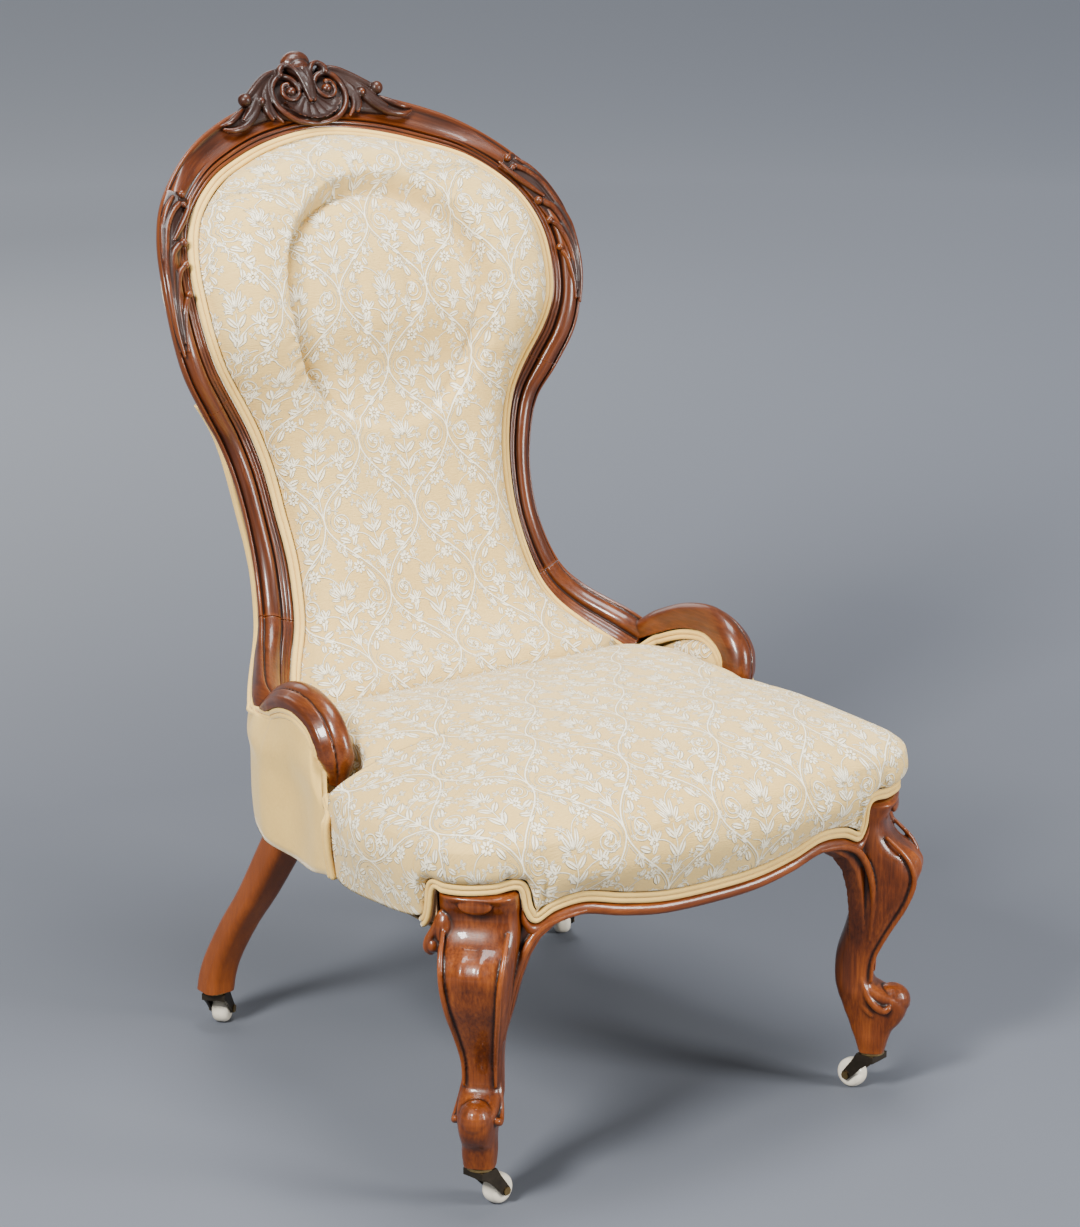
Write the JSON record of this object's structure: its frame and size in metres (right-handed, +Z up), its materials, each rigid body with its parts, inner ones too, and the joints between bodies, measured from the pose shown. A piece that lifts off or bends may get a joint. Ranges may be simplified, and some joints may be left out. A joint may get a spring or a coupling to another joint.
{
  "type": "salon chair",
  "caption": "Spoon-back salon chair with a carved walnut show frame, sprung damask seat, stuffed back, scrolled arm stubs, cabriole front legs and swivelling castors.",
  "frame": {"origin": "on the floor, under the middle of the chair's bounding box", "axes": "+Z up, -Y is the front of the seat, +X is the sitter's left hand side"},
  "size_m": [0.582, 0.771, 0.9876],
  "materials": {
    "walnut": "polished reddish-brown walnut",
    "beech": "plain sawn beech inside the covers",
    "damask": "cream damask with a raised foliate pattern",
    "velvet": "plain beige cover and piping",
    "hessian": "coarse hessian",
    "webbing": "jute webbing",
    "spring_steel": "drawn wire",
    "castor_bronze": "darkened cast brass",
    "castor_brass": "aged brass",
    "ceramic": "white glaze"
  },
  "bodies": {
    "chair": {"crest_rail": "walnut", "crest_carving": "walnut", "shoulder_carving_left": "walnut", "shoulder_carving_right": "walnut", "back_stile_left": "walnut", "back_stile_right": "walnut", "arm_scroll_left": "walnut", "arm_scroll_right": "walnut", "front_rail": "walnut", "front_leg_left": "walnut", "front_leg_right": "walnut", "rear_leg_left": "walnut", "rear_leg_right": "walnut", "back_post_left": "beech", "back_post_right": "beech", "arm_post_left": "beech", "arm_post_right": "beech", "tacking_rail": "beech", "side_rail_left": "beech", "side_rail_right": "beech", "back_rail": "beech", "corner_block_left": "beech", "corner_block_right": "beech", "seat_cushion": "damask", "back_pad": "damask", "inner_arm_pad_left": "damask", "inner_arm_pad_right": "damask", "outside_back": "velvet", "outside_arm_left": "velvet", "outside_arm_right": "velvet", "back_piping": "velvet", "arm_piping_left": "velvet", "arm_piping_right": "velvet", "seat_piping": "velvet", "side_piping_left": "velvet", "side_piping_right": "velvet", "bottom_cloth": "hessian", "seat_webbing": "webbing", "seat_spring_1": "spring_steel", "seat_spring_2": "spring_steel", "seat_spring_3": "spring_steel", "seat_spring_4": "spring_steel", "seat_spring_5": "spring_steel", "castor_plate_front_left": "castor_brass", "castor_plate_front_right": "castor_brass", "castor_plate_rear_left": "castor_brass", "castor_plate_rear_right": "castor_brass"},
    "castor_front_left": {"castor_horn_front_left": "castor_bronze", "castor_axle_front_left": "castor_brass"},
    "castor_front_right": {"castor_horn_front_right": "castor_bronze", "castor_axle_front_right": "castor_brass"},
    "castor_rear_left": {"castor_horn_rear_left": "castor_bronze", "castor_axle_rear_left": "castor_brass"},
    "castor_rear_right": {"castor_horn_rear_right": "castor_bronze", "castor_axle_rear_right": "castor_brass"},
    "wheel_front_left": {"castor_wheel_front_left": "ceramic"},
    "wheel_front_right": {"castor_wheel_front_right": "ceramic"},
    "wheel_rear_left": {"castor_wheel_rear_left": "ceramic"},
    "wheel_rear_right": {"castor_wheel_rear_right": "ceramic"}
  },
  "joints": [
    {"name": "swivel_front_left", "type": "hinge", "parent": "chair", "child": "castor_front_left", "pos_m": [-0.238, -0.3275, 0.03], "axis": [0, 0, 1], "continuous": true},
    {"name": "swivel_front_right", "type": "hinge", "parent": "chair", "child": "castor_front_right", "pos_m": [0.238, -0.3275, 0.03], "axis": [0, 0, 1], "continuous": true},
    {"name": "swivel_rear_left", "type": "hinge", "parent": "chair", "child": "castor_rear_left", "pos_m": [-0.225, 0.1925, 0.03], "axis": [0, 0, 1], "continuous": true},
    {"name": "swivel_rear_right", "type": "hinge", "parent": "chair", "child": "castor_rear_right", "pos_m": [0.225, 0.1925, 0.03], "axis": [0, 0, 1], "continuous": true},
    {"name": "roll_front_left", "type": "hinge", "parent": "castor_front_left", "child": "wheel_front_left", "pos_m": [-0.2155, -0.32272, 0.015], "axis": [-0.2079, 0.9781, 0], "continuous": true},
    {"name": "roll_front_right", "type": "hinge", "parent": "castor_front_right", "child": "wheel_front_right", "pos_m": [0.23205, -0.30529, 0.015], "axis": [-0.9659, -0.2588, 0], "continuous": true},
    {"name": "roll_rear_left", "type": "hinge", "parent": "castor_rear_left", "child": "wheel_rear_left", "pos_m": [-0.20846, 0.20848, 0.015], "axis": [-0.6947, 0.7193, 0], "continuous": true},
    {"name": "roll_rear_right", "type": "hinge", "parent": "castor_rear_right", "child": "wheel_rear_right", "pos_m": [0.23508, 0.21317, 0.015], "axis": [-0.8988, 0.4384, 0], "continuous": true}
  ]
}
